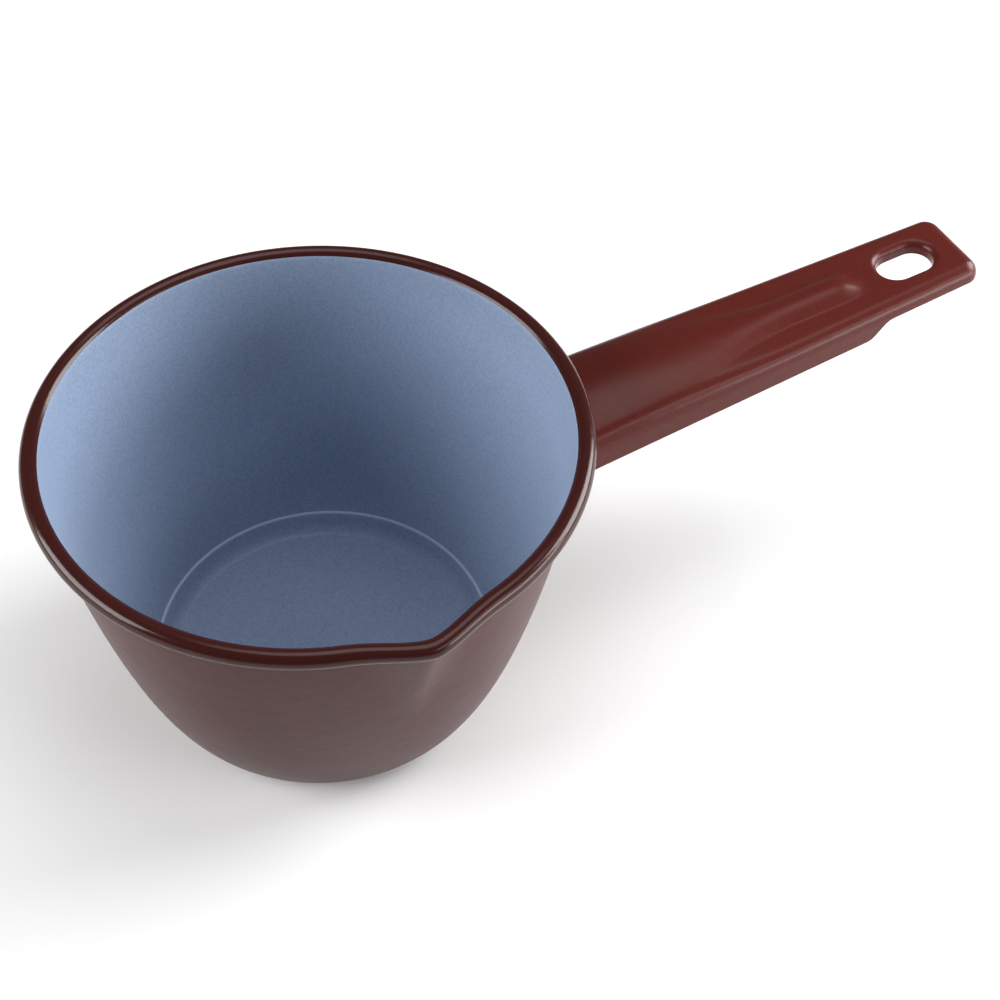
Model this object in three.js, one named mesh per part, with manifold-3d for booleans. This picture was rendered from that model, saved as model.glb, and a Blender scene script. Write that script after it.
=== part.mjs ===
// Candle melting pot: a deep-drawn steel bowl with a curled rim and one pouring spout, enamelled inside and
// outside, and a pressed steel handle, enamelled all over, welded to the wall.
// Millimetres, +Z up. The origin is on the bowl's axis at the underside of the base. The handle points along +X
// and the spout along -Y.
import * as THREE from "three";
import { mergeVertices } from "three/addons/utils/BufferGeometryUtils.js";
import Module from "manifold-3d";

const wasm = await Module();
wasm.setup();

const { degToRad, lerp, smoothstep, clamp } = THREE.MathUtils;

// Bowl
const rimDiameter = 150;
const potHeight = 95;
const baseDiameter = 87;
const rimBeadDiameter = 5.2;
const wallLean = degToRad(7.1);
const lowerBendPull = 11.6; // how far the round foot of the wall reaches before it turns up
const upperBendPull = 30; // how far down from the rim the wall stays nearly straight
const sheetThickness = 0.7;
const enamelThickness = 0.35;
const enamelClearance = 0.1;
const liningEdge = degToRad(150); // where on the rim bead the lining ends and the rim's enamel begins
const curlClearance = 0.2; // between the end of the rim's curl and the wall beside it

// Spout
const spoutAzimuth = degToRad(-90);
const spoutReach = 4;
const spoutDip = 0.6;
const spoutHeight = 48;
const spoutMouthAngle = degToRad(17); // half of the spout's width at the rim, seen from the axis
const spoutFootAngle = degToRad(7); // the same where the spout dies out in the wall

// Handle
const handleRise = degToRad(5.5);
const handleDrop = 24.9; // from the rim's top down to the handle's shoulders, below the rim's outer edge
const handleLength = 133.6; // from there to the free end
const handleSheet = 1;
const rootWidth = 34.7;
const endWidth = 25.1;
const shoulderRadius = 3.2;
const cornerRadius = 4.2;
const skirtDepth = 8.7;
const lipDepth = 3.6;
const skirtStepLength = 8; // over this length the deep skirts step up to the tab's lip
const crownHeight = 4.2;
const crownSettling = 57.5; // over this length the crown's sides settle and leave a narrow nose
const noseHeight = 2.4;
const noseWidth = 12.5;
const noseLength = 26; // the narrow nose, before the tab
const noseTip = 8; // the nose's rounded end
const tabLength = 31.6; // the flat end that holds the hang slot
const slotFromEnd = 17.6;
const slotLength = 18.4;
const slotWidth = 12;
const collarDepth = 2.8;
const collarWall = 1;
const rootBurial = 5; // how far the handle's blank runs into the wall before it is trimmed to it
const jointClearance = 0.3;

// Welds inside the handle's root
const weldDiameter = 2.6;
const weldLength = 5;

// Facets
const turns = 48; // round the bowl; a multiple of 12, so that corners fall on the X and Y axes
const bendSteps = 8;
const liningCurlSteps = 2;
const rimCurlSteps = 3; // between the curl's inner side, top, outer side and end
const alongSteps = 18;
const crownSteps = 8;
const bandSteps = 3;
const slotSteps = 6;
const weldSides = 12;

const tabStart = handleLength - tabLength;
const noseStart = tabStart - noseLength;
const crownEnd = noseStart - crownSettling;
const coatGrowth = enamelClearance + enamelThickness;
const coatedHalf = sheetThickness / 2 + coatGrowth;
const enamelInner = sheetThickness / 2 + enamelClearance;
const innerFace = handleSheet / 2 + coatGrowth;
const beadRadius = rimBeadDiameter / 2;
const curlRadius = beadRadius - coatedHalf;
const curlCentre = new THREE.Vector2(rimDiameter / 2 - beadRadius, potHeight - beadRadius);
const curlOpening = Math.acos((curlRadius - coatedHalf - curlClearance) / beadRadius);
const curlEnd = curlOpening - Math.PI - wallLean;
const handleHeight = potHeight - handleDrop;

const steel = new THREE.MeshStandardMaterial({ color: 0x8c8f94, roughness: 0.45, metalness: 1 });
const blueEnamel = new THREE.MeshStandardMaterial({ color: 0x8594b3, roughness: 0.4, metalness: 0 });
const maroonEnamel = new THREE.MeshStandardMaterial({ color: 0x59231d, roughness: 0.35, metalness: 0 });

// ---- Solids -----------------------------------------------------------------------------------------------

function toSolid(geometry) {
  const bare = geometry.clone();
  bare.deleteAttribute("normal");
  bare.deleteAttribute("uv");
  const merged = mergeVertices(bare, 1e-4);
  return new wasm.Manifold(
    new wasm.Mesh({
      numProp: 3,
      vertProperties: new Float32Array(merged.attributes.position.array),
      triVerts: new Uint32Array(merged.index.array),
    }),
  );
}

function toGeometry(solid) {
  const { vertProperties, triVerts } = solid.getMesh();
  const geometry = new THREE.BufferGeometry();
  geometry.setAttribute("position", new THREE.BufferAttribute(vertProperties, 3));
  geometry.setIndex(new THREE.BufferAttribute(triVerts, 1));
  geometry.computeVertexNormals();
  return geometry;
}

function named(name, geometry, material) {
  const mesh = new THREE.Mesh(geometry, material);
  mesh.name = name;
  return mesh;
}

// Moves every vertex of a geometry to the place that a function gives for it.
function reshape(geometry, place) {
  const positions = geometry.attributes.position;
  const vertex = new THREE.Vector3();
  for (let i = 0; i < positions.count; i++) {
    place(vertex.fromBufferAttribute(positions, i));
    positions.setXYZ(i, vertex.x, vertex.y, vertex.z);
  }
  return geometry;
}

// ---- Bowl -------------------------------------------------------------------------------------------------

// A station is a point of the steel sheet's middle, as radius and height, with the normal on its outer side.
function station(point, tangent) {
  return { point, normal: new THREE.Vector2(tangent.y, -tangent.x).normalize() };
}

function curlStation(angle) {
  const spoke = new THREE.Vector2(Math.cos(angle), Math.sin(angle));
  const point = spoke.clone().multiplyScalar(curlRadius).add(curlCentre);
  return station(point, new THREE.Vector2(spoke.y, -spoke.x));
}

// Stations round the curl, with the same number of steps from each stop to the next.
function curlStations(stops, steps) {
  const stations = [curlStation(stops[0])];
  for (let stop = 1; stop < stops.length; stop++) {
    for (let i = 1; i <= steps; i++) {
      stations.push(curlStation(lerp(stops[stop - 1], stops[stop], i / steps)));
    }
  }
  return stations;
}

// The base and the wall: flat, then one curve that turns up and ends in the line that leans outwards.
function wallStations() {
  const wallTop = curlStation(Math.PI - wallLean).point;
  const foot = new THREE.Vector2(baseDiameter / 2, coatedHalf);
  const bend = new THREE.CubicBezierCurve(
    foot,
    new THREE.Vector2(foot.x + lowerBendPull, foot.y),
    new THREE.Vector2(Math.sin(wallLean), Math.cos(wallLean)).multiplyScalar(-upperBendPull).add(wallTop),
    wallTop,
  );
  const stations = [station(new THREE.Vector2(0, foot.y), new THREE.Vector2(1, 0))];
  for (let i = 0; i < bendSteps; i++) {
    const along = i / bendSteps;
    stations.push(station(bend.getPoint(along), bend.getTangent(along)));
  }
  return stations;
}

const wall = wallStations();
const liningCurl = curlStations([Math.PI - wallLean, liningEdge], liningCurlSteps);
const rimStart = liningEdge - enamelClearance / curlRadius;
const rimCurl = curlStations([rimStart, Math.PI / 2, 0, curlEnd], rimCurlSteps);

// Closed outline of a layer: out along one distance from the middle of the sheet and back along another.
function layerOutline(stations, there, back) {
  const offset = ({ point, normal }, distance) => {
    const moved = point.clone().addScaledVector(normal, distance);
    if (point.x === 0) moved.x = 0;
    return moved;
  };
  const outline = stations.map((place) => offset(place, there));
  outline.push(...stations.map((place) => offset(place, back)).reverse());
  if (stations[0].point.x > 0) outline.push(outline[0].clone());
  return outline;
}

// Gathers the facets towards the spout, and keeps corners exactly on the X and Y axes.
function gather(turn) {
  const pull = Math.PI / 6 / Math.sin((2 * Math.PI) / 3);
  return turn - pull * Math.sin(turn);
}

// How much of the spout's full reach the wall has at an angle from the spout and at a height.
function spoutShare(angle, height) {
  const down = clamp((potHeight - height) / spoutHeight, 0, 1);
  const halfWidth = lerp(spoutMouthAngle, spoutFootAngle, down);
  if (Math.abs(angle) >= halfWidth) return 0;
  return (1 - smoothstep(down, 0, 1)) * (0.5 + 0.5 * Math.cos((Math.PI * angle) / halfWidth));
}

function pressSpout(vertex) {
  const radius = Math.hypot(vertex.x, vertex.y);
  if (radius < baseDiameter / 4) return;
  const angle = gather(Math.atan2(vertex.x, -vertex.y));
  const share = spoutShare(angle, vertex.z);
  const reach = radius + spoutReach * share;
  vertex.x = reach * Math.cos(spoutAzimuth + angle);
  vertex.y = reach * Math.sin(spoutAzimuth + angle);
  vertex.z -= spoutDip * share;
}

function turnFacesRound(geometry) {
  const index = geometry.index.array;
  for (let i = 0; i < index.length; i += 3) {
    [index[i + 1], index[i + 2]] = [index[i + 2], index[i + 1]];
  }
}

// Turns an outline once round the bowl's axis and presses the spout into it. A coat's outline runs the other
// way round from the sheet's, so that the faces that meet are split along the same diagonals.
function spinLayer(stations, there, back) {
  const geometry = new THREE.LatheGeometry(layerOutline(stations, there, back), turns);
  if (there < back) turnFacesRound(geometry);
  geometry.rotateX(Math.PI / 2);
  return reshape(geometry, pressSpout);
}

function bowlShell() {
  const half = sheetThickness / 2;
  return spinLayer([...wall, ...liningCurl, ...rimCurl], half, -half);
}

function outerEnamel() {
  return spinLayer([...wall, liningCurl[0]], enamelInner, coatedHalf);
}

function lining() {
  return spinLayer([...wall, ...liningCurl], -coatedHalf, -enamelInner);
}

function rimEnamel() {
  return spinLayer(rimCurl, -coatedHalf, -enamelInner);
}

// The bowl as one plug without a hollow, grown by a clearance: what the handle's root is trimmed with.
function bowlPlug(clearance) {
  const outline = [...wall, liningCurl[0]].map(({ point, normal }) =>
    point.clone().addScaledVector(normal, coatedHalf + clearance),
  );
  outline[0].x = 0;
  outline.push(new THREE.Vector2(0, outline.at(-1).y));
  const plug = new THREE.LatheGeometry(outline, turns);
  plug.rotateX(Math.PI / 2);
  return toSolid(reshape(plug, pressSpout));
}

// ---- Handle -----------------------------------------------------------------------------------------------
// The handle's own frame: x along it from under the rim's edge, y across, z up from its shoulders.

// Radius of the bowl's outside at a height, away from the spout.
function wallRadiusAt(height) {
  const above = wall.findIndex(({ point }) => point.y > height);
  const low = wall[above - 1].point;
  const high = wall[above].point;
  return lerp(low.x, high.x, (height - low.y) / (high.y - low.y)) + coatedHalf;
}

// Where the wall's face lies along the handle's axis, at a place across the handle and above its shoulders.
function wallFaceAt(y, z) {
  const radius = wallRadiusAt(handleHeight + z) + jointClearance;
  return Math.sqrt(radius ** 2 - y ** 2) - rimDiameter / 2;
}

const rootStart = wallFaceAt(rootWidth / 2, -skirtDepth) - rootBurial;
const skirtDepthAt = (x) => lerp(skirtDepth, lipDepth, smoothstep(x, tabStart - skirtStepLength, tabStart));
const halfWidthAt = (x) => lerp(rootWidth, endWidth, x / handleLength) / 2;

// Height of the vaulted crown above the shoulders. It is a full arch at the root. Towards the tab its sides settle
// and leave a narrow nose, which ends in a short rounded slope.
function crownAt(x, y) {
  const settled = smoothstep(x, crownEnd, noseStart);
  const arch = crownHeight * (1 - settled);
  const nose = noseHeight * settled * (1 - smoothstep(x, tabStart - noseTip, tabStart));
  const noseHalf = lerp(halfWidthAt(x), noseWidth / 2, settled);
  const acrossArch = clamp(Math.abs(y) / halfWidthAt(x), 0, 1);
  const acrossNose = clamp(Math.abs(y) / noseHalf, 0, 1);
  return arch * (1 - acrossArch ** 2) + nose * (1 - acrossNose ** 2) ** 1.5;
}

// Middle of the pressed sheet. Along and across run over its flat pattern: 0 to 1 and -1 to 1 are the plate, and
// the next whole step outwards is the band that folds down over the shoulder into the skirts and the end lip.
function sheetPoint(along, across, growth) {
  const endLine = handleLength - cornerRadius;
  const overEnd = Math.max(along - 1, 0);
  const x = lerp(rootStart, endLine, Math.min(along, 1));
  const innerHalf = halfWidthAt(x) - cornerRadius;
  const overSide = Math.max(Math.abs(across) - 1, 0);
  const plate = new THREE.Vector3(x, clamp(across, -1, 1) * innerHalf, 0);
  plate.z = crownAt(plate.x, plate.y);
  const band = Math.max(overEnd, overSide);
  if (band === 0) return plate;

  const flat = cornerRadius - shoulderRadius;
  const fold = (shoulderRadius * Math.PI) / 2;
  const skirt = skirtDepthAt(x) - shoulderRadius + growth;
  const distance = band * (flat + fold + skirt);
  const turn = clamp(distance - flat, 0, fold) / shoulderRadius;
  const outward = Math.min(distance, flat) + shoulderRadius * Math.sin(turn);
  const down = shoulderRadius * (1 - Math.cos(turn)) + Math.max(distance - flat - fold, 0);
  const direction = new THREE.Vector2(overEnd, overSide * Math.sign(across)).normalize();
  const side = plate.y + direction.y * outward;
  return new THREE.Vector3(plate.x + direction.x * outward, side, crownAt(plate.x, side) - down);
}

// Upper normal of the sheet's middle, from its slopes along and across the flat pattern.
function sheetNormal(along, across) {
  const step = 1e-3;
  const slopeAlong = sheetPoint(along + step, across, 0).sub(sheetPoint(along - step, across, 0));
  const slopeAcross = sheetPoint(along, across + step, 0).sub(sheetPoint(along, across - step, 0));
  return slopeAlong.cross(slopeAcross).normalize();
}

// The pressing without its slot, with every face grown by the same distance.
function sheetSolid(growth) {
  const half = handleSheet / 2 + growth;
  const along = alongSteps + bandSteps;
  const across = crownSteps + 2 * bandSteps;
  const blank = new THREE.BoxGeometry(along, across, 2, along, across, 1);
  blank.translate(along / 2, 0, 0);
  return toSolid(
    reshape(blank, (vertex) => {
      const u = vertex.x <= alongSteps ? vertex.x / alongSteps : 1 + (vertex.x - alongSteps) / bandSteps;
      const side = Math.abs(vertex.y);
      const edge = crownSteps / 2;
      const v = Math.sign(vertex.y) * (side <= edge ? side / edge : 1 + (side - edge) / bandSteps);
      const normal = sheetNormal(u, v);
      vertex.copy(sheetPoint(u, v, growth).addScaledVector(normal, vertex.z * half));
    }),
  );
}

// Upright oval bar centred on the hang slot.
function slotBar(length, width, bottom, top) {
  const straight = (length - width) / 2;
  const oval = new THREE.Shape();
  oval.absarc(straight, 0, width / 2, -Math.PI / 2, Math.PI / 2, false);
  oval.absarc(-straight, 0, width / 2, Math.PI / 2, (3 * Math.PI) / 2, false);
  const bar = new THREE.ExtrudeGeometry(oval, {
    depth: top - bottom,
    bevelEnabled: false,
    curveSegments: slotSteps,
  });
  bar.translate(handleLength - slotFromEnd, 0, bottom);
  return toSolid(bar);
}

// The pressing with its slot and the slot's down-turned collar, every face grown by the same distance.
function pressing(growth) {
  const beyond = 2 * skirtDepth;
  const outerLength = slotLength + 2 * (collarWall + growth);
  const outerWidth = slotWidth + 2 * (collarWall + growth);
  const collar = slotBar(outerLength, outerWidth, -collarDepth - growth, 0);
  const slot = slotBar(slotLength - 2 * growth, slotWidth - 2 * growth, -beyond, beyond);
  return sheetSolid(growth).add(collar).subtract(slot);
}

// ---- Welds ------------------------------------------------------------------------------------------------

// Weld bead along a line in the corner between the handle's inner face and the wall, trimmed by both.
function weldBead(centre, turn, length, trimmers) {
  const bead = new THREE.CylinderGeometry(weldDiameter / 2, weldDiameter / 2, length, weldSides);
  bead.rotateX(turn);
  bead.translate(centre.x, centre.y, centre.z);
  return toGeometry(trimmers.reduce((solid, trimmer) => solid.subtract(trimmer), toSolid(bead)));
}

function sideWeld(side, trimmers) {
  const height = -(shoulderRadius + skirtDepth) / 2;
  const y = side * (rootWidth / 2 - innerFace);
  return weldBead(new THREE.Vector3(wallFaceAt(y, height), y, height), Math.PI / 2, weldLength, trimmers);
}

function crownWeld(trimmers) {
  const height = crownHeight - innerFace;
  return weldBead(new THREE.Vector3(wallFaceAt(0, height), 0, height), 0, weldLength, trimmers);
}

// ---- Assembly ---------------------------------------------------------------------------------------------

function assembleHandle() {
  const handle = new THREE.Group();
  handle.position.set(rimDiameter / 2, 0, handleHeight);
  handle.rotation.y = -handleRise;
  handle.updateMatrix();
  const plug = bowlPlug(jointClearance).transform(handle.matrix.clone().invert().elements);
  const core = pressing(0).subtract(plug);
  const coat = pressing(coatGrowth).subtract(pressing(enamelClearance)).subtract(plug);
  const trimmers = [plug, pressing(coatGrowth + jointClearance)];
  handle.add(named("handle_pressing", toGeometry(core), steel));
  handle.add(named("handle_enamel", toGeometry(coat), maroonEnamel));
  handle.add(named("weld_left", sideWeld(1, trimmers), steel));
  handle.add(named("weld_right", sideWeld(-1, trimmers), steel));
  handle.add(named("weld_crown", crownWeld(trimmers), steel));
  return handle;
}

const pot = new THREE.Group();
pot.add(named("bowl_shell", bowlShell(), steel));
pot.add(named("bowl_lining", lining(), blueEnamel));
pot.add(named("bowl_outer_enamel", outerEnamel(), maroonEnamel));
pot.add(named("rim_enamel", rimEnamel(), maroonEnamel));
pot.add(assembleHandle());

export default pot;
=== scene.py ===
"""Candle melting pot: the enamelled surfaces, the pressed handle and a plain studio, built round the CAD frame."""
import math

import bmesh
import bpy
from bpy.props import FloatProperty, FloatVectorProperty, IntProperty, PointerProperty
from mathutils import Matrix, Vector


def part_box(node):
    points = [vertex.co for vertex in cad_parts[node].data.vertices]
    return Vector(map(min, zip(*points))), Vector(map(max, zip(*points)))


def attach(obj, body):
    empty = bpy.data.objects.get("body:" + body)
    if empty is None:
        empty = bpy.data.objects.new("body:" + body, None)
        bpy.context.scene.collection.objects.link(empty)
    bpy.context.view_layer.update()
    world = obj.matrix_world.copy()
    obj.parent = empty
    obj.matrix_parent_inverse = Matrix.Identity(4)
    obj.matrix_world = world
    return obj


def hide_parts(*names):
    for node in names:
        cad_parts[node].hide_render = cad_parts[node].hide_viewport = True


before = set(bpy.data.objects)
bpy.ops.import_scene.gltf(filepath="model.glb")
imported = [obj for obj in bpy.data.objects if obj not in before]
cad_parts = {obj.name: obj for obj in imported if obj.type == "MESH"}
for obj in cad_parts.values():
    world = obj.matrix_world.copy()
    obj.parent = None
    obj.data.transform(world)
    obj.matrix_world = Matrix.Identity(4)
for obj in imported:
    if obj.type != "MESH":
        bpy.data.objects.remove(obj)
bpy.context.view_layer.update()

bl_info = {
    "name": "Candle Melting Pot",
    "version": (1, 0, 0),
    "blender": (4, 5, 0),
    "location": "View3D > Sidebar > Melting Pot",
    "description": "Builds an enamelled melting pot with a pressed handle round its CAD frame",
    "category": "Add Mesh",
}

MM = 0.001
BODY = "root"
RIM_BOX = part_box("rim_enamel")
RIM_RADIUS = -RIM_BOX[0].x
POT_HEIGHT = RIM_BOX[1].z

SHARP_ANGLE = math.radians(38)
MERGE_DISTANCE = 1e-7
SEAM = 0.02 * MM  # between two coats where one ends on the other

BASE_STEPS = 6  # stations from the axis to the edge of the flat base
WALL_PACKING = 1.25  # above 1 the wall's stations gather towards its foot
BISECTIONS = 30
FILLET_STEPS = 8  # round the enamel that gathers under the bead
SEAT_STEPS = 4  # from that fillet round to the curl's end
LEDGE_STATIONS = range(-9, 3)  # extra stations round the ledge of the floor's enamel
LEDGE_SPACING = 0.0012  # between those stations, as a share of the wall

PLATE_STEPS = 116
BAND_STEPS = 16
ACROSS_STEPS = 32
ALONG_CELLS = PLATE_STEPS + BAND_STEPS
ACROSS_CELLS = ACROSS_STEPS + 2 * BAND_STEPS
ROOT_ROUNDS = 12  # of bringing the handle's root onto the wall
ROLL_STEPS = 8  # round the rolled edge of the slot
WINDOW_REACH = 2.5 * MM  # past the rolled edge, where the slot's window has its open edges


# ---- Sizes and finishes -----------------------------------------------------------------------------------


def length(name, description, default):
    return FloatProperty(name=name, description=description, default=default, unit="LENGTH", precision=5)


def turn(name, description, degrees):
    return FloatProperty(name=name, description=description, default=math.radians(degrees), subtype="ANGLE")


def colour(name, description, default):
    return FloatVectorProperty(
        name=name, description=description, default=default, subtype="COLOR", size=3, min=0.0, max=1.0
    )


def share(name, description, default):
    return FloatProperty(name=name, description=description, default=default, min=0.0, max=1.0, subtype="FACTOR")


class BowlSizes(bpy.types.PropertyGroup):
    base_radius: length("Base radius", "Radius of the flat underside", 43.5 * MM)
    bead_radius: length("Bead radius", "Radius of the rolled rim's section, with its enamel", 2.6 * MM)
    wall_lean: turn("Wall lean", "How far the top of the wall leans out from upright", 7.1)
    lower_pull: length("Lower pull", "How far the round foot reaches before the wall turns up", 11.6 * MM)
    upper_pull: length("Upper pull", "How far down from the rim the wall stays nearly straight", 30 * MM)
    steel: length("Steel sheet", "Thickness of the steel sheet", 0.7 * MM)
    coat_gap: length("Coat gap", "Space between the steel and its enamel", 0.1 * MM)
    coat: length("Enamel", "Thickness of the enamel", 0.35 * MM)
    lining_edge: turn("Lining edge", "Where on the bead the lining ends, seen from the bead's centre", 150)
    curl_clearance: length("Curl clearance", "Space between the curl's end and the wall", 0.2 * MM)
    pool_height: length("Pool height", "Height of the ledge where the enamel pooled on the floor ends", 7.0 * MM)
    pool_depth: length("Pool depth", "How far that ledge stands in from the wall", 0.45 * MM)
    pool_foot: length("Pool foot", "Height where the pool begins to thicken", 2.5 * MM)
    pool_full: length("Pool full", "Height where the pool is at its thickest", 6 * MM)
    pool_edge: length("Pool edge", "Height over which the ledge falls back to the wall", 0.4 * MM)
    crevice: length("Crevice fillet", "Radius of the enamel that gathers under the rim bead", 1.0 * MM)
    wall_steps: IntProperty(name="Wall steps", description="Stations up the wall", default=44, min=8)
    curl_steps: IntProperty(name="Curl steps", description="Stations round the rim bead", default=26, min=6)
    turns: IntProperty(name="Turns", description="Faces round the bowl", default=216, min=24)


class SpoutSizes(bpy.types.PropertyGroup):
    reach: length("Reach", "How far the spout stands out from the round rim", 4 * MM)
    dip: length("Dip", "How far the rim dips at the spout", 0.6 * MM)
    height: length("Height", "How far down the wall the spout runs", 48 * MM)
    mouth: turn("Mouth", "Half of the spout's width at the rim, seen from the bowl's axis", 17)
    foot: turn("Foot", "Half of the spout's width where it dies out in the wall", 7)
    point: FloatProperty(
        name="Point", description="Below 1 the spout comes to a sharper point at the rim", default=0.78, min=0.4
    )
    crease: FloatProperty(
        name="Crease", description="Below 1 the spout has a sharper crease down the wall", default=0.56, min=0.4
    )
    crease_start: share("Crease start", "How far down the spout the crease is at its sharpest", 0.4)


class HandleSizes(bpy.types.PropertyGroup):
    rise: turn("Rise", "How steeply the handle climbs away from the bowl", 5.5)
    drop: length("Drop", "From the rim's top down to the handle's shoulders", 24.9 * MM)
    length: length("Length", "From under the rim's edge to the free end", 133.6 * MM)
    sheet: length("Steel sheet", "Thickness of the pressed sheet", 1 * MM)
    root_width: length("Root width", "Width at the bowl", 34.7 * MM)
    end_width: length("End width", "Width at the free end", 25.1 * MM)
    shoulder: length("Shoulder radius", "Radius of the fold between the top and the skirts", 3.2 * MM)
    corner: length("Corner radius", "Radius of the free end's corners, seen from above", 4.2 * MM)
    skirt: length("Skirt depth", "Depth of the skirts below the shoulders", 8.7 * MM)
    lip: length("Lip depth", "Depth of the lip round the flat end", 3.6 * MM)
    step: length("Skirt step", "Length over which the skirts step up to the lip", 8 * MM)
    crown: length("Crown height", "Height of the vaulted top at the bowl", 4.2 * MM)
    settling: length("Crown settling", "Length over which the crown's sides settle to a narrow nose", 57.5 * MM)
    nose_height: length("Nose height", "Height of the narrow nose", 2.4 * MM)
    nose_width: length("Nose width", "Width of the narrow nose", 12.5 * MM)
    nose: length("Nose length", "Length of the narrow nose", 26 * MM)
    nose_tip: length("Nose tip", "Length of the nose's rounded end", 11 * MM)
    dimple_place: length("Dimple place", "From under the rim's edge to the small dimple on the nose", 97.5 * MM)
    dimple_offset: length("Dimple offset", "How far the dimple is off the middle, towards +Y", 2 * MM)
    dimple_radius: length("Dimple radius", "Radius of the dimple", 3 * MM)
    dimple_depth: length("Dimple depth", "Depth of the dimple", 0.45 * MM)
    tab: length("Tab length", "Length of the flat end", 31.6 * MM)
    slot_from_end: length("Slot place", "From the free end to the middle of the hang slot", 17.6 * MM)
    slot_length: length("Slot length", "Length of the slot in the steel", 18.4 * MM)
    slot_width: length("Slot width", "Width of the slot in the steel", 12 * MM)
    collar: length("Collar depth", "Depth of the slot's turned-down collar", 2.8 * MM)
    collar_roll: length("Collar roll", "Radius of the rolled edge of the slot", 1.3 * MM)
    slot_room_along: length("Room along", "Least room past the rolled edge, along the handle", 0.6 * MM)
    slot_room_across: length("Room across", "Least room past the rolled edge, across the handle", 0.4 * MM)
    weld_gap: length("Root gap", "Space between the handle's root and the wall's enamel", 0.05 * MM)


class Finishes(bpy.types.PropertyGroup):
    blue: colour("Lining blue", "Grey-blue of the lining", (0.245, 0.31, 0.43))
    blue_fleck: colour("Lining fleck", "Darker flecks in the lining", (0.15, 0.2, 0.31))
    # Painted highlight: the ledge tone and its share paint a paler line along the floor's ledge, standing in for light
    # caught there.
    ledge: colour("Ledge", "Paler tone of the lining where it thins over the ledge", (0.6, 0.66, 0.76))
    ledge_highlight_share: share("Ledge share", "How much of that paler tone shows", 0.45)
    steel: colour("Fired steel", "Grey of the bare steel", (0.35, 0.35, 0.36))
    weld: colour("Weld", "Dark grey of the welds", (0.2, 0.19, 0.19))
    maroon: colour("Maroon", "Dark maroon of the bowl", (0.056, 0.0092, 0.0082))
    maroon_fleck: colour("Maroon fleck", "Darker flecks in the maroon", (0.026, 0.005, 0.0045))
    rim_red: colour("Rim red", "Dark red-brown of the rim", (0.036, 0.0068, 0.0056))
    handle_red: colour("Handle red", "Dark red-brown of the handle", (0.088, 0.0125, 0.009))
    handle_fleck: colour("Handle fleck", "Darker flecks in the handle", (0.045, 0.008, 0.006))
    blue_roughness: share("Lining roughness", "Roughness of the satin lining", 0.42)
    bowl_roughness: share("Bowl roughness", "Roughness of the satin outside", 0.33)
    rim_roughness: share("Rim roughness", "Roughness of the glossier rim", 0.17)
    handle_roughness: share("Handle roughness", "Roughness of the handle", 0.27)
    steel_roughness: share("Steel roughness", "Roughness of the bare steel", 0.45)
    weld_roughness: share("Weld roughness", "Roughness of the welds", 0.5)


class StageSettings(bpy.types.PropertyGroup):
    camera_place: FloatVectorProperty(
        name="Camera place", description="Where the camera stands", unit="LENGTH", precision=5,
        default=(-110.06 * MM, -311.4 * MM, 435.67 * MM),
    )
    camera_turn: FloatVectorProperty(
        name="Camera turn", description="How the camera is turned, about X, Y and Z", subtype="EULER",
        default=(math.radians(42.353), math.radians(-0.164), math.radians(-25.685)),
    )
    lens: FloatProperty(name="Lens", description="Focal length in millimetres", default=65.44, min=10)
    shift: FloatVectorProperty(
        name="Shift", description="How far the view is shifted, in frame widths", size=2, default=(0.05, -0.02)
    )
    floor: colour("Floor", "Colour of the floor", (0.82, 0.82, 0.82))
    floor_reach: FloatProperty(name="Floor reach", description="From the pot to the floor's edge", default=4, min=1)
    sky: FloatProperty(name="Sky", description="Brightness of the room", default=0.12, min=0)
    left: FloatProperty(name="Left light", description="Power of the left softbox", default=14, unit="POWER")
    right: FloatProperty(name="Right light", description="Power of the right softbox", default=14, unit="POWER")
    low: FloatProperty(name="Low light", description="Power of the low softbox on the right", default=3.5, unit="POWER")
    top: FloatProperty(name="Top light", description="Power of the softbox overhead", default=3.5, unit="POWER")
    strip: FloatProperty(name="Strip light", description="Power of the strip in front", default=1.8, unit="POWER")


# ---- Meshes -----------------------------------------------------------------------------------------------


def finished(bm, name, material, node):
    """Makes a piece of the object from a bmesh, and hides the CAD node it stands for."""
    mesh = bpy.data.meshes.new(name)
    bm.to_mesh(mesh)
    bm.free()
    mesh.shade_smooth()
    mesh.set_sharp_from_angle(angle=SHARP_ANGLE)
    mesh.materials.append(material)
    piece = bpy.data.objects.new(name, mesh)
    bpy.context.scene.collection.objects.link(piece)
    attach(piece, BODY)
    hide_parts(node)
    return piece


def lerp(a, b, t):
    return a + (b - a) * t


def clamp(value, low=0.0, high=1.0):
    return max(low, min(high, value))


def smoothstep(value, low, high):
    t = clamp((value - low) / (high - low))
    return t * t * (3 - 2 * t)


# ---- Bowl -------------------------------------------------------------------------------------------------


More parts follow.
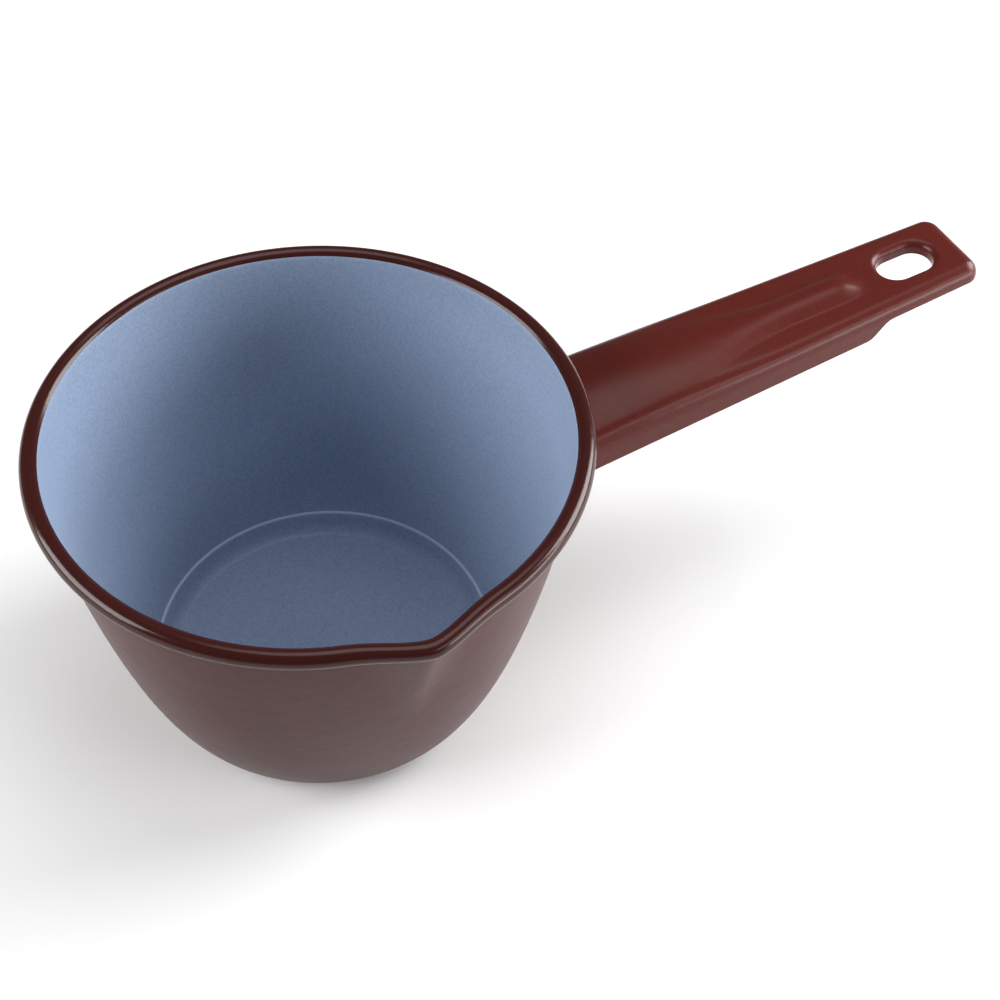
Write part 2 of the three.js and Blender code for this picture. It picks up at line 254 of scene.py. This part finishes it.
class Section:
    """The middle of the bowl's steel sheet, in the plane of radius and height."""

    def __init__(self, bowl):
        self.bowl = bowl
        self.inner = bowl.steel / 2 + bowl.coat_gap
        self.outer = self.inner + bowl.coat
        self.curl_radius = bowl.bead_radius - self.outer
        self.centre = Vector((RIM_RADIUS - bowl.bead_radius, POT_HEIGHT - bowl.bead_radius))
        opening = math.acos((self.curl_radius - self.outer - bowl.curl_clearance) / bowl.bead_radius)
        self.curl_end = opening - math.pi - bowl.wall_lean
        self.wall_top = math.pi - bowl.wall_lean
        foot = Vector((bowl.base_radius, self.outer))
        top = self.curl(self.wall_top)[0]
        up = Vector((math.sin(bowl.wall_lean), math.cos(bowl.wall_lean)))
        self.knots = (foot, foot + Vector((bowl.lower_pull, 0)), top - up * bowl.upper_pull, top)

    def curl(self, angle):
        spoke = Vector((math.cos(angle), math.sin(angle)))
        return self.centre + spoke * self.curl_radius, -spoke

    def wall(self, t):
        a, b, c, d = self.knots
        s = 1 - t
        point = a * s**3 + b * (3 * s * s * t) + c * (3 * s * t * t) + d * t**3
        along = ((b - a) * s * s + (c - b) * (2 * s * t) + (d - c) * t * t).normalized()
        return point, Vector((along.y, -along.x))

    def wall_stations(self):
        """Stations from the centre of the base up to the start of the rim's curl, as points with outer normals."""
        down = Vector((0, -1))
        flat = [(Vector((self.bowl.base_radius * i / BASE_STEPS, self.outer)), down) for i in range(BASE_STEPS)]
        steps = self.bowl.wall_steps
        return flat + [self.wall((i / steps) ** WALL_PACKING) for i in range(steps + 1)]

    def curl_stations(self, start, end):
        steps = max(2, round(self.bowl.curl_steps * abs(end - start) / math.tau))
        return [self.curl(lerp(start, end, i / steps)) for i in range(steps + 1)]

    def wall_at(self, height, distance):
        """Where along the wall the surface at this distance from the steel's middle reaches a height."""
        low, high = 0.0, 1.0
        for _ in range(BISECTIONS):
            middle = (low + high) / 2
            point, normal = self.wall(middle)
            if (point + normal * distance).y < height:
                low = middle
            else:
                high = middle
        return low

    def wall_radius(self, height):
        """Radius of the enamelled outside at a height."""
        point, normal = self.wall(self.wall_at(height, self.outer))
        return (point + normal * self.outer).x


def offset(stations, distance):
    return [point + normal * distance for point, normal in stations]


def press_spout(bm, spout):
    """Presses the pouring spout into a spun layer, towards -Y."""
    for vert in bm.verts:
        radius = math.hypot(vert.co.x, vert.co.y)
        angle = math.atan2(vert.co.x, -vert.co.y)
        down = clamp((POT_HEIGHT - vert.co.z) / spout.height)
        half = lerp(spout.mouth, spout.foot, down)
        if radius < MM or abs(angle) >= half:
            continue
        across = abs(angle / half) ** lerp(spout.point, spout.crease, clamp(down / spout.crease_start))
        amount = (1 - smoothstep(down, 0, 1)) * (0.5 + 0.5 * math.cos(math.pi * across))
        vert.co.xy *= (radius + spout.reach * amount) / radius
        vert.co.z -= spout.dip * amount


def spun_layer(outline, closed, bowl, spout):
    """Turns an outline of (radius, height) points once round the axis and presses the spout into it."""
    bm = bmesh.new()
    verts = [bm.verts.new((point.x, 0, point.y)) for point in outline]
    pairs = zip(verts, verts[1:] + verts[:1]) if closed else zip(verts, verts[1:])
    edges = [bm.edges.new(pair) for pair in pairs]
    bmesh.ops.spin(
        bm, geom=verts + edges, cent=(0, 0, 0), axis=(0, 0, 1), dvec=(0, 0, 0),
        angle=math.tau, steps=bowl.turns, use_merge=True, use_duplicate=False,
    )
    bmesh.ops.remove_doubles(bm, verts=bm.verts, dist=MERGE_DISTANCE)
    bmesh.ops.recalc_face_normals(bm, faces=bm.faces)
    press_spout(bm, spout)
    return bm


def steel_outline(section):
    half = section.bowl.steel / 2
    stations = section.wall_stations() + section.curl_stations(section.wall_top, section.curl_end)[1:]
    return offset(stations, half) + offset(stations, -half)[::-1]


def lining_outline(section):
    """The lining. Its enamel has pooled on the floor, and the pool ends a little way up the wall in a low ledge."""
    bowl = section.bowl
    ledge = section.wall_at(bowl.pool_height, -section.outer)
    near = [section.wall(ledge + LEDGE_SPACING * i) for i in LEDGE_STATIONS]
    stations = [s for s in section.wall_stations() if not near[0][0].y <= s[0].y <= near[-1][0].y] + near
    stations.sort(key=lambda s: (s[0].y, s[0].x))
    stations += section.curl_stations(section.wall_top, bowl.lining_edge)[1:]
    face = []
    for point, normal in stations:
        height = (point - normal * section.outer).y
        pooled = smoothstep(height, bowl.pool_foot, bowl.pool_full)
        pooled *= 1 - smoothstep(height, bowl.pool_height - bowl.pool_edge, bowl.pool_height)
        face.append(point - normal * (section.outer + bowl.pool_depth * pooled))
    return face + offset(stations, -section.inner)[::-1]


def rim_outline(section):
    start = section.bowl.lining_edge - SEAM / section.curl_radius
    stations = section.curl_stations(start, section.curl_end)
    return offset(stations, -section.outer) + offset(stations, -section.inner)[::-1]


def coat_outline(section):
    """The outside coat. Under the rim bead it flares out into the small fillet where the enamel gathers."""
    bowl = section.bowl
    bead_bottom = section.centre.y - bowl.bead_radius
    fillet_low = bead_bottom - bowl.crevice
    stations = [s for s in section.wall_stations() if (s[0] + s[1] * section.outer).y < fillet_low]
    outer = offset(stations, section.outer)
    foot = Vector((section.wall_radius(fillet_low), fillet_low))
    middle = foot + Vector((bowl.crevice, 0))
    for i in range(FILLET_STEPS + 1):
        angle = math.pi - i / FILLET_STEPS * math.pi / 2
        outer.append(middle + Vector((math.cos(angle), math.sin(angle))) * bowl.crevice)
    seat = bowl.bead_radius + SEAM
    start = math.asin(clamp((middle.y + bowl.crevice - section.centre.y) / seat, -1, 1))
    for i in range(1, SEAT_STEPS + 1):
        angle = lerp(-math.pi - start, section.curl_end, i / SEAT_STEPS)
        outer.append(section.centre + Vector((math.cos(angle), math.sin(angle))) * seat)
    under_bead = [s for s in section.wall_stations() if (s[0] + s[1] * section.inner).y < outer[-1].y]
    return outer + offset(under_bead, section.inner)[::-1]


# ---- Handle -----------------------------------------------------------------------------------------------


class Pressing:
    """The handle's pressed sheet in its own frame: x along it, y across, z up from its shoulders."""

    def __init__(self, handle, section):
        self.handle = handle
        self.section = section
        self.tab_start = handle.length - handle.tab
        self.nose_start = self.tab_start - handle.nose
        self.crown_end = self.nose_start - handle.settling
        self.end_line = handle.length - handle.corner
        place = Vector((RIM_RADIUS, 0, POT_HEIGHT - handle.drop))
        self.matrix = Matrix.Translation(place) @ Matrix.Rotation(-handle.rise, 4, "Y")

    def half_width(self, x):
        return lerp(self.handle.root_width, self.handle.end_width, x / self.handle.length) / 2

    def skirt_depth(self, x):
        h = self.handle
        return lerp(h.skirt, h.lip, smoothstep(x, self.tab_start - h.step, self.tab_start))

    def crown(self, x, y):
        h = self.handle
        settled = smoothstep(x, self.crown_end, self.nose_start)
        arch = h.crown * (1 - settled)
        nose = h.nose_height * settled * (1 - smoothstep(x, self.tab_start - h.nose_tip, self.tab_start))
        nose_half = lerp(self.half_width(x), h.nose_width / 2, settled)
        across_arch = clamp(abs(y) / self.half_width(x))
        across_nose = clamp(abs(y) / nose_half)
        away = clamp(math.hypot(x - h.dimple_place, y - h.dimple_offset) / h.dimple_radius)
        dimple = h.dimple_depth * (1 - away**2) ** 2
        return arch * (1 - across_arch**2) + nose * (1 - across_nose**2) ** 1.5 - dimple

    def point(self, along, across, growth, x):
        """A point of the sheet's middle, at plate station x or in the bands that fold down round the plate."""
        h = self.handle
        over_end = max(along - 1, 0)
        over_side = max(abs(across) - 1, 0)
        inner = self.half_width(x) - h.corner
        side = clamp(across, -1, 1) * inner
        band = max(over_end, over_side)
        if band == 0:
            return Vector((x, side, self.crown(x, side)))
        flat = h.corner - h.shoulder
        fold = h.shoulder * math.pi / 2
        distance = band * (flat + fold + self.skirt_depth(x) - h.shoulder + growth)
        angle = clamp(distance - flat, 0, fold) / h.shoulder
        outward = min(distance, flat) + h.shoulder * math.sin(angle)
        down = h.shoulder * (1 - math.cos(angle)) + max(distance - flat - fold, 0)
        direction = Vector((over_end, math.copysign(over_side, across))).normalized()
        side += direction.y * outward
        return Vector((x + direction.x * outward, side, self.crown(x, side) - down))

    def root_x(self, across, growth):
        """Where the line of the sheet at this place across meets the wall's enamel."""
        x = 0.0
        for _ in range(ROOT_ROUNDS):
            at = self.matrix @ self.point(0, across, growth, x)
            wall = self.section.wall_radius(at.z) + self.handle.weld_gap
            x += wall - math.hypot(at.x, at.y)
        return x


def sheet_surface(pressing, growth):
    """The middle surface of the pressing with its slot rolled down, in the handle's own frame."""
    bm = bmesh.new()
    bmesh.ops.create_grid(bm, x_segments=ALONG_CELLS, y_segments=ACROSS_CELLS, size=1.0)
    cut_window(bm, pressing, growth)
    roots = {}
    for vert in bm.verts:
        i = round((vert.co.x + 1) / 2 * ALONG_CELLS)
        j = round((vert.co.y + 1) / 2 * ACROSS_CELLS) - ACROSS_CELLS // 2
        along = i / PLATE_STEPS if i <= PLATE_STEPS else 1 + (i - PLATE_STEPS) / BAND_STEPS
        edge = ACROSS_STEPS // 2
        across = j / edge if abs(j) <= edge else math.copysign(1 + (abs(j) - edge) / BAND_STEPS, j)
        if j not in roots:
            roots[j] = pressing.root_x(across, growth)
        x = lerp(roots[j], pressing.end_line, min(along, 1))
        vert.co = pressing.point(along, across, growth, x)
    roll_slot(bm, pressing.handle, growth)
    bmesh.ops.recalc_face_normals(bm, faces=bm.faces)
    return bm


def slot_sizes(handle):
    """The hang slot's middle, the half of its straight part, its collar's radius and where the roll begins."""
    neck = handle.slot_width / 2 + handle.sheet / 2
    middle = handle.length - handle.slot_from_end
    return middle, (handle.slot_length - handle.slot_width) / 2, neck, neck + handle.collar_roll


def cut_window(bm, pressing, growth):
    """Takes whole cells out of the flat grid where the hang slot and its rolled edge will be."""
    middle, straight, _, start = slot_sizes(pressing.handle)
    root = pressing.root_x(0, growth)
    inner = pressing.half_width(middle + straight) - pressing.handle.corner
    half_length = straight + start + pressing.handle.slot_room_along
    half_width = start + pressing.handle.slot_room_across
    inside = []
    for face in bm.faces:
        centre = face.calc_center_median()
        x = lerp(root, pressing.end_line, (centre.x + 1) / 2 * ALONG_CELLS / PLATE_STEPS)
        y = abs(centre.y) * ACROSS_CELLS / ACROSS_STEPS * inner
        if abs(x - middle) < half_length and y < half_width:
            inside.append(face)
    bmesh.ops.delete(bm, geom=inside, context="FACES")


def roll_slot(bm, handle, growth):
    """Rolls the edge of the slot's window down into a collar."""
    middle, straight, neck, start = slot_sizes(handle)
    reach = Vector((straight + start + WINDOW_REACH, start + WINDOW_REACH))
    ring = [
        edge for edge in bm.edges
        if edge.is_boundary and all(
            abs(v.co.x - middle) < reach.x and abs(v.co.y) < reach.y and abs(v.co.z) < MM for v in edge.verts
        )
    ]
    profile = [(start, 0.0)]
    roll = handle.collar_roll
    for i in range(1, ROLL_STEPS + 1):
        angle = i / ROLL_STEPS * math.pi / 2
        profile.append((neck + roll * (1 - math.sin(angle)), -roll * (1 - math.cos(angle))))
    profile.append((neck, -(handle.collar + growth)))
    for distance, height in profile:
        grown = bmesh.ops.extrude_edge_only(bm, edges=ring)["geom"]
        rim = {item for item in grown if isinstance(item, bmesh.types.BMVert)}
        ring = [item for item in grown if isinstance(item, bmesh.types.BMEdge) and rim.issuperset(item.verts)]
        for vert in rim:
            spine = Vector((clamp(vert.co.x, middle - straight, middle + straight), 0))
            out = (vert.co.xy - spine).normalized()
            vert.co = (spine + out * distance).to_3d()
            vert.co.z = height


def thickened(pressing, growth):
    """The pressing as a closed solid, with every face grown by the same distance."""
    bm = sheet_surface(pressing, growth)
    half = pressing.handle.sheet / 2 + growth
    if sum((face.normal * face.calc_area() for face in bm.faces), Vector()).z < 0:
        bmesh.ops.reverse_faces(bm, faces=bm.faces)
    bm.normal_update()
    normal = bm.verts.layers.float_vector.new("sheet normal")
    for vert in bm.verts:
        vert[normal] = vert.normal
    grown = bmesh.ops.extrude_face_region(bm, geom=bm.faces[:], use_keep_orig=True)["geom"]
    under = {item for item in grown if isinstance(item, bmesh.types.BMVert)}
    for vert in bm.verts:
        vert.co += vert[normal] * (-half if vert in under else half)
    bm.verts.layers.float_vector.remove(normal)
    bmesh.ops.recalc_face_normals(bm, faces=bm.faces)
    bmesh.ops.transform(bm, matrix=pressing.matrix, verts=bm.verts)
    return bm


def coated(pressing, gap, coat):
    """The enamel round the pressing: a closed skin with a closed space inside it for the steel."""
    bm = thickened(pressing, gap + coat)
    core = thickened(pressing, gap)
    bmesh.ops.reverse_faces(core, faces=core.faces)
    mesh = bpy.data.meshes.new("core")
    core.to_mesh(mesh)
    core.free()
    bm.from_mesh(mesh)
    bpy.data.meshes.remove(mesh)
    return bm


# ---- Materials --------------------------------------------------------------------------------------------


def node_group(name, inputs, outputs):
    group = bpy.data.node_groups.new(name, "ShaderNodeTree")
    for socket, kind, default in inputs:
        made = group.interface.new_socket(name=socket, in_out="INPUT", socket_type=kind)
        if default is not None:
            made.default_value = default
    for socket, kind in outputs:
        group.interface.new_socket(name=socket, in_out="OUTPUT", socket_type=kind)
    return group, group.nodes.new("NodeGroupInput"), group.nodes.new("NodeGroupOutput")


def speckle_group():
    """Fine flecks and slow drifts of tone, as fired enamel has."""
    name = "Enamel speckle"
    if name in bpy.data.node_groups:
        return bpy.data.node_groups[name]
    group, given, made = node_group(
        name,
        [
            ("Vector", "NodeSocketVector", None),
            ("Colour", "NodeSocketColor", (0.5, 0.5, 0.5, 1)),
            ("Fleck", "NodeSocketColor", (0.2, 0.2, 0.2, 1)),
            ("Fleck scale", "NodeSocketFloat", 1500.0),
            ("Fleck amount", "NodeSocketFloat", 0.4),
            ("Drift", "NodeSocketFloat", 0.1),
        ],
        [("Colour", "NodeSocketColor")],
    )
    nodes, links = group.nodes, group.links
    fleck = nodes.new("ShaderNodeTexNoise")
    fleck.inputs["Detail"].default_value = 2
    links.new(given.outputs["Vector"], fleck.inputs["Vector"])
    links.new(given.outputs["Fleck scale"], fleck.inputs["Scale"])
    mask = nodes.new("ShaderNodeMapRange")
    mask.inputs["From Min"].default_value = 0.4
    mask.inputs["From Max"].default_value = 0.68
    links.new(fleck.outputs["Fac"], mask.inputs["Value"])
    amount = nodes.new("ShaderNodeMath")
    amount.operation = "MULTIPLY"
    links.new(mask.outputs["Result"], amount.inputs[0])
    links.new(given.outputs["Fleck amount"], amount.inputs[1])
    flecked = nodes.new("ShaderNodeMix")
    flecked.data_type = "RGBA"
    links.new(amount.outputs[0], flecked.inputs["Factor"])
    links.new(given.outputs["Colour"], flecked.inputs["A"])
    links.new(given.outputs["Fleck"], flecked.inputs["B"])
    drift = nodes.new("ShaderNodeTexNoise")
    drift.inputs["Scale"].default_value = 22
    drift.inputs["Detail"].default_value = 3
    links.new(given.outputs["Vector"], drift.inputs["Vector"])
    centred = nodes.new("ShaderNodeMath")
    centred.operation = "SUBTRACT"
    centred.inputs[1].default_value = 0.5
    links.new(drift.outputs["Fac"], centred.inputs[0])
    scaled = nodes.new("ShaderNodeMath")
    scaled.operation = "MULTIPLY_ADD"
    scaled.inputs[2].default_value = 1
    links.new(centred.outputs[0], scaled.inputs[0])
    links.new(given.outputs["Drift"], scaled.inputs[1])
    toned = nodes.new("ShaderNodeHueSaturation")
    links.new(flecked.outputs["Result"], toned.inputs["Color"])
    links.new(scaled.outputs[0], toned.inputs["Value"])
    links.new(toned.outputs["Color"], made.inputs["Colour"])
    return group


def surface_group():
    """The skin of fired enamel: a slow ripple, a fine grain, and a roughness that wanders a little."""
    name = "Fired surface"
    if name in bpy.data.node_groups:
        return bpy.data.node_groups[name]
    group, given, made = node_group(
        name,
        [
            ("Vector", "NodeSocketVector", None),
            ("Ripple scale", "NodeSocketFloat", 220.0),
            ("Grain scale", "NodeSocketFloat", 1800.0),
            ("Grain share", "NodeSocketFloat", 0.3),
            ("Roughness", "NodeSocketFloat", 0.35),
            ("Wander", "NodeSocketFloat", 0.06),
        ],
        [("Height", "NodeSocketFloat"), ("Roughness", "NodeSocketFloat")],
    )
    nodes, links = group.nodes, group.links
    ripple = nodes.new("ShaderNodeTexNoise")
    ripple.inputs["Detail"].default_value = 1
    links.new(given.outputs["Vector"], ripple.inputs["Vector"])
    links.new(given.outputs["Ripple scale"], ripple.inputs["Scale"])
    grain = nodes.new("ShaderNodeTexNoise")
    grain.inputs["Detail"].default_value = 2
    links.new(given.outputs["Vector"], grain.inputs["Vector"])
    links.new(given.outputs["Grain scale"], grain.inputs["Scale"])
    height = nodes.new("ShaderNodeMath")
    height.operation = "MULTIPLY_ADD"
    links.new(grain.outputs["Fac"], height.inputs[0])
    links.new(given.outputs["Grain share"], height.inputs[1])
    links.new(ripple.outputs["Fac"], height.inputs[2])
    links.new(height.outputs[0], made.inputs["Height"])
    wander = nodes.new("ShaderNodeTexNoise")
    wander.inputs["Scale"].default_value = 60
    wander.inputs["Detail"].default_value = 2
    links.new(given.outputs["Vector"], wander.inputs["Vector"])
    centred = nodes.new("ShaderNodeMath")
    centred.operation = "SUBTRACT"
    centred.inputs[1].default_value = 0.5
    links.new(wander.outputs["Fac"], centred.inputs[0])
    rough = nodes.new("ShaderNodeMath")
    rough.operation = "MULTIPLY_ADD"
    links.new(centred.outputs[0], rough.inputs[0])
    links.new(given.outputs["Wander"], rough.inputs[1])
    links.new(given.outputs["Roughness"], rough.inputs[2])
    links.new(rough.outputs[0], made.inputs["Roughness"])
    return group


def enamel(name, base, fleck, roughness, fleck_amount, bump, grain_share, shine):
    """A satin or glossy fired enamel."""
    material = bpy.data.materials.new(name)
    material.use_nodes = True
    nodes, links = material.node_tree.nodes, material.node_tree.links
    shader = nodes["Principled BSDF"]
    place = nodes.new("ShaderNodeTexCoord")
    speckle = nodes.new("ShaderNodeGroup")
    speckle.node_tree = speckle_group()
    speckle.inputs["Colour"].default_value = (*base, 1)
    speckle.inputs["Fleck"].default_value = (*fleck, 1)
    speckle.inputs["Fleck amount"].default_value = fleck_amount
    surface = nodes.new("ShaderNodeGroup")
    surface.node_tree = surface_group()
    surface.inputs["Roughness"].default_value = roughness
    surface.inputs["Grain share"].default_value = grain_share
    bumped = nodes.new("ShaderNodeBump")
    bumped.inputs["Strength"].default_value = 1
    bumped.inputs["Distance"].default_value = bump
    links.new(place.outputs["Object"], speckle.inputs["Vector"])
    links.new(place.outputs["Object"], surface.inputs["Vector"])
    links.new(speckle.outputs["Colour"], shader.inputs["Base Color"])
    links.new(surface.outputs["Roughness"], shader.inputs["Roughness"])
    links.new(surface.outputs["Height"], bumped.inputs["Height"])
    links.new(bumped.outputs["Normal"], shader.inputs["Normal"])
    shader.inputs["IOR"].default_value = 1.5
    shader.inputs["Specular IOR Level"].default_value = shine
    return material


def painted_highlight_line(material, height, half_width, colour, amount):
    """Lightens a narrow level line in an enamel: a painted highlight along an edge."""
    nodes, links = material.node_tree.nodes, material.node_tree.links
    base = nodes["Principled BSDF"].inputs["Base Color"]
    source = base.links[0].from_socket
    place = nodes.new("ShaderNodeTexCoord")
    split = nodes.new("ShaderNodeSeparateXYZ")
    links.new(place.outputs["Object"], split.inputs["Vector"])
    away = nodes.new("ShaderNodeMath")
    away.operation = "SUBTRACT"
    away.inputs[1].default_value = height
    links.new(split.outputs["Z"], away.inputs[0])
    size = nodes.new("ShaderNodeMath")
    size.operation = "ABSOLUTE"
    links.new(away.outputs[0], size.inputs[0])
    fade = nodes.new("ShaderNodeMapRange")
    fade.interpolation_type = "SMOOTHSTEP"
    fade.inputs["From Min"].default_value = 0
    fade.inputs["From Max"].default_value = half_width
    fade.inputs["To Min"].default_value = amount
    fade.inputs["To Max"].default_value = 0
    links.new(size.outputs[0], fade.inputs["Value"])
    mix = nodes.new("ShaderNodeMix")
    mix.data_type = "RGBA"
    mix.inputs["B"].default_value = (*colour, 1)
    links.new(fade.outputs["Result"], mix.inputs["Factor"])
    links.new(source, mix.inputs["A"])
    links.new(mix.outputs["Result"], base)


def bare_steel(name, tint, roughness):
    """Steel that has been through the enamelling furnace: dull, with a faint mottle."""
    material = bpy.data.materials.new(name)
    material.use_nodes = True
    nodes, links = material.node_tree.nodes, material.node_tree.links
    shader = nodes["Principled BSDF"]
    place = nodes.new("ShaderNodeTexCoord")
    speckle = nodes.new("ShaderNodeGroup")
    speckle.node_tree = speckle_group()
    speckle.inputs["Colour"].default_value = (*tint, 1)
    speckle.inputs["Fleck"].default_value = (*(c * 0.5 for c in tint), 1)
    speckle.inputs["Fleck scale"].default_value = 500
    speckle.inputs["Drift"].default_value = 0.5
    surface = nodes.new("ShaderNodeGroup")
    surface.node_tree = surface_group()
    surface.inputs["Roughness"].default_value = roughness
    surface.inputs["Wander"].default_value = 0.2
    bumped = nodes.new("ShaderNodeBump")
    bumped.inputs["Distance"].default_value = 0.02 * MM
    links.new(place.outputs["Object"], speckle.inputs["Vector"])
    links.new(place.outputs["Object"], surface.inputs["Vector"])
    links.new(speckle.outputs["Colour"], shader.inputs["Base Color"])
    links.new(surface.outputs["Roughness"], shader.inputs["Roughness"])
    links.new(surface.outputs["Height"], bumped.inputs["Height"])
    links.new(bumped.outputs["Normal"], shader.inputs["Normal"])
    shader.inputs["Metallic"].default_value = 1
    return material


# ---- Operators --------------------------------------------------------------------------------------------


class POT_OT_bowl(bpy.types.Operator):
    """Build the bowl: its steel, its lining, its outside coat and the enamel on its rim"""

    bl_idname = "pot.bowl"
    bl_label = "Bowl"

    def execute(self, context):
        scene = context.scene
        bowl, spout, look = scene.pot_bowl, scene.pot_spout, scene.pot_finishes
        section = Section(bowl)
        steel = bare_steel("Fired steel", look.steel, look.steel_roughness)
        blue = enamel(
            "Blue enamel", look.blue, look.blue_fleck, look.blue_roughness,
            fleck_amount=0.5, bump=0.06 * MM, grain_share=0.3, shine=0.3,
        )
        # Painted highlight: a paler level line in the lining at the ledge's height.
        middle = bowl.pool_height - bowl.pool_edge / 2
        painted_highlight_line(blue, middle, 0.5 * MM, look.ledge, look.ledge_highlight_share)
        maroon = enamel(
            "Maroon enamel", look.maroon, look.maroon_fleck, look.bowl_roughness,
            fleck_amount=0.5, bump=0.07 * MM, grain_share=0.5, shine=0.17,
        )
        rim = enamel(
            "Rim enamel", look.rim_red, look.maroon_fleck, look.rim_roughness,
            fleck_amount=0.3, bump=0.03 * MM, grain_share=0.3, shine=0.28,
        )
        finished(spun_layer(steel_outline(section), False, bowl, spout), "bowl_steel", steel, "bowl_shell")
        layer = spun_layer(lining_outline(section), False, bowl, spout)
        finished(layer, "bowl_blue_lining", blue, "bowl_lining")
        layer = spun_layer(coat_outline(section), False, bowl, spout)
        finished(layer, "bowl_maroon_coat", maroon, "bowl_outer_enamel")
        layer = spun_layer(rim_outline(section), True, bowl, spout)
        finished(layer, "rim_bead_coat", rim, "rim_enamel")
        return {"FINISHED"}


class POT_OT_handle(bpy.types.Operator):
    """Build the handle: its pressed steel and its enamel"""

    bl_idname = "pot.handle"
    bl_label = "Handle"

    def execute(self, context):
        scene = context.scene
        look = scene.pot_finishes
        section = Section(scene.pot_bowl)
        pressing = Pressing(scene.pot_handle, section)
        gap, coat = scene.pot_bowl.coat_gap, scene.pot_bowl.coat
        red = enamel(
            "Handle enamel", look.handle_red, look.handle_fleck, look.handle_roughness,
            fleck_amount=0.4, bump=0.05 * MM, grain_share=0.3, shine=0.22,
        )
        steel = bare_steel("Handle steel", look.steel, look.steel_roughness)
        finished(coated(pressing, gap, coat), "handle_coat", red, "handle_enamel")
        finished(thickened(pressing, 0), "handle_steel", steel, "handle_pressing")
        return {"FINISHED"}


class POT_OT_welds(bpy.types.Operator):
    """Give the welds inside the handle's root their fired-steel finish"""

    bl_idname = "pot.welds"
    bl_label = "Welds"

    def execute(self, context):
        look = context.scene.pot_finishes
        steel = bare_steel("Weld metal", look.weld, look.weld_roughness)
        for name in ("weld_left", "weld_right", "weld_crown"):
            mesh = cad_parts[name].data
            mesh.materials.clear()
            mesh.materials.append(steel)
        return {"FINISHED"}


class POT_OT_stage(bpy.types.Operator):
    """Lay the floor, hang the lights and set up the camera"""

    bl_idname = "pot.stage"
    bl_label = "Stage"

    def execute(self, context):
        stage = context.scene.pot_stage
        make_floor(stage)
        make_lights(stage)
        make_camera(stage)
        return {"FINISHED"}


def make_floor(stage):
    bm = bmesh.new()
    bmesh.ops.create_grid(bm, x_segments=1, y_segments=1, size=stage.floor_reach)
    mesh = bpy.data.meshes.new("floor")
    bm.to_mesh(mesh)
    bm.free()
    floor = bpy.data.objects.new("floor", mesh)
    bpy.context.scene.collection.objects.link(floor)
    material = bpy.data.materials.new("Floor")
    material.use_nodes = True
    shader = material.node_tree.nodes["Principled BSDF"]
    shader.inputs["Base Color"].default_value = (*stage.floor, 1)
    shader.inputs["Roughness"].default_value = 0.9
    mesh.materials.append(material)


def area_light(name, place, aim, width, height, power):
    light = bpy.data.lights.new(name, "AREA")
    light.shape = "RECTANGLE"
    light.size = width
    light.size_y = height
    light.energy = power
    holder = bpy.data.objects.new(name, light)
    holder.location = place
    holder.rotation_euler = (Vector(aim) - Vector(place)).to_track_quat("-Z", "Y").to_euler()
    bpy.context.scene.collection.objects.link(holder)


def make_lights(stage):
    world = bpy.data.worlds.new("Studio")
    world.use_nodes = True
    background = world.node_tree.nodes["Background"]
    background.inputs["Color"].default_value = (1, 1, 1, 1)
    background.inputs["Strength"].default_value = stage.sky
    bpy.context.scene.world = world
    bpy.context.scene.view_settings.view_transform = "Standard"
    middle = (0.03, 0, 0.05)
    area_light("left softbox", (-0.9, 0.26, 0.5), middle, 0.8, 0.6, stage.left)
    area_light("right softbox", (0.95, -0.05, 0.5), middle, 0.6, 0.6, stage.right)
    area_light("low softbox", (0.6, -0.5, 0.2), middle, 0.5, 0.25, stage.low)
    area_light("top softbox", (0.2, 0.15, 1.1), middle, 0.7, 0.7, stage.top)
    area_light("front strip", (0.6, -0.85, 0.72), (0.14, 0, 0.07), 0.7, 0.16, stage.strip)


def make_camera(stage):
    camera = bpy.data.cameras.new("camera")
    camera.sensor_width = 36
    camera.lens = stage.lens
    camera.shift_x, camera.shift_y = stage.shift
    camera.clip_start, camera.clip_end = 0.01, 20
    holder = bpy.data.objects.new("camera", camera)
    holder.location = stage.camera_place
    holder.rotation_euler = stage.camera_turn
    bpy.context.scene.collection.objects.link(holder)
    bpy.context.scene.camera = holder


class POT_PT_panel(bpy.types.Panel):
    bl_idname = "POT_PT_panel"
    bl_label = "Melting Pot"
    bl_space_type = "VIEW_3D"
    bl_region_type = "UI"
    bl_category = "Melting Pot"

    def draw(self, context):
        for operator in (POT_OT_bowl, POT_OT_handle, POT_OT_welds, POT_OT_stage):
            self.layout.operator(operator.bl_idname)
        for name in SETTINGS:
            group = getattr(context.scene, name)
            box = self.layout.box()
            for key in group.__annotations__:
                box.prop(group, key)


SETTINGS = {
    "pot_bowl": BowlSizes,
    "pot_spout": SpoutSizes,
    "pot_handle": HandleSizes,
    "pot_finishes": Finishes,
    "pot_stage": StageSettings,
}
CLASSES = (*SETTINGS.values(), POT_OT_bowl, POT_OT_handle, POT_OT_welds, POT_OT_stage, POT_PT_panel)


def register():
    for cls in CLASSES:
        bpy.utils.register_class(cls)
    for name, group in SETTINGS.items():
        setattr(bpy.types.Scene, name, PointerProperty(type=group))


def unregister():
    for name in SETTINGS:
        delattr(bpy.types.Scene, name)
    for cls in reversed(CLASSES):
        bpy.utils.unregister_class(cls)


def main():
    register()
    bpy.ops.pot.stage()
    bpy.ops.pot.bowl()
    bpy.ops.pot.handle()
    bpy.ops.pot.welds()


if __name__ == "__main__":
    main()
